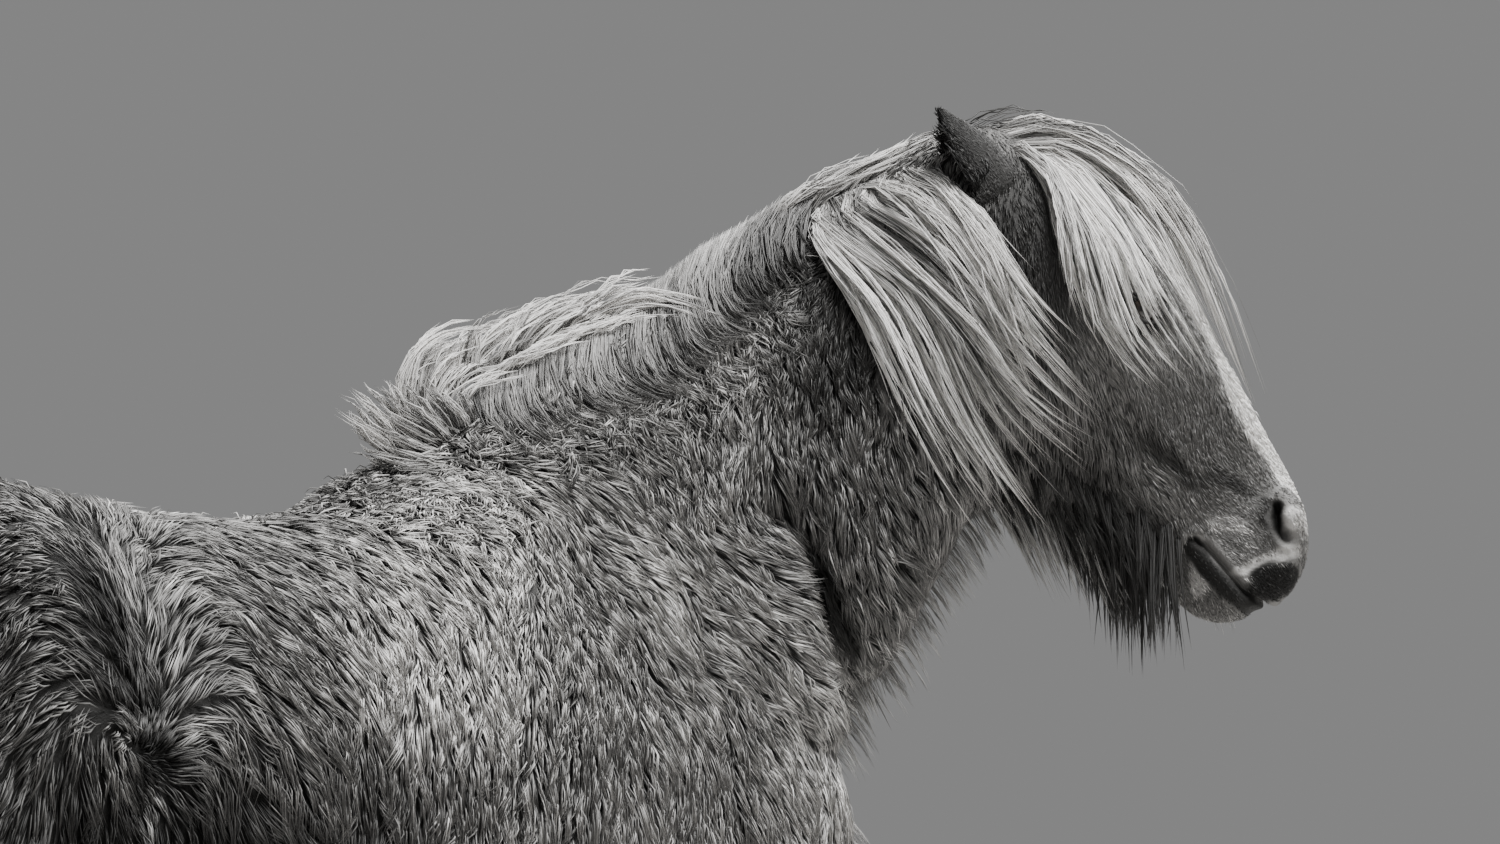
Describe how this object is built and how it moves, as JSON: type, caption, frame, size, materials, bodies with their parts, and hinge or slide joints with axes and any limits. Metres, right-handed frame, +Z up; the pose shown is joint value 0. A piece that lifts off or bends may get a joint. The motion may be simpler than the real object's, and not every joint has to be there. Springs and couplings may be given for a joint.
{
  "type": "icelandic horse",
  "caption": "Small, sturdy horse with a long winter coat, standing with its head turned to the side; a still, life-size model that stands on its four hooves.",
  "frame": {"origin": "On the floor, under the middle of the box that the whole animal fills", "axes": "+Z up; +X towards the horse's front, along its back; +Y to its left"},
  "size_m": [1.916, 0.7084, 1.7188],
  "materials": {
    "winter_coat": "long dense winter hair over skin, in clumped tufts that follow the lie of the coat",
    "long_hair": "pale, coarse mane, forelock and tail hair in long tapered strands",
    "bare_skin": "soft, finely wrinkled skin of the nostrils and lips",
    "eye": "wet, clear cornea over a dark iris",
    "hoof_horn": "dull horn with fine growth rings"
  },
  "bodies": {
    "root": {"torso": "winter_coat", "neck": "winter_coat", "head": "winter_coat", "ear_left": "winter_coat", "ear_right": "winter_coat", "eye_left": "eye", "eye_right": "eye", "forearm_left": "winter_coat", "forearm_right": "winter_coat", "thigh_left": "winter_coat", "thigh_right": "winter_coat", "cannon_front_left": "winter_coat", "cannon_front_right": "winter_coat", "cannon_hind_left": "winter_coat", "cannon_hind_right": "winter_coat", "hoof_front_left": "hoof_horn", "hoof_front_right": "hoof_horn", "hoof_hind_left": "hoof_horn", "hoof_hind_right": "hoof_horn", "tail": "long_hair"}
  },
  "joints": []
}
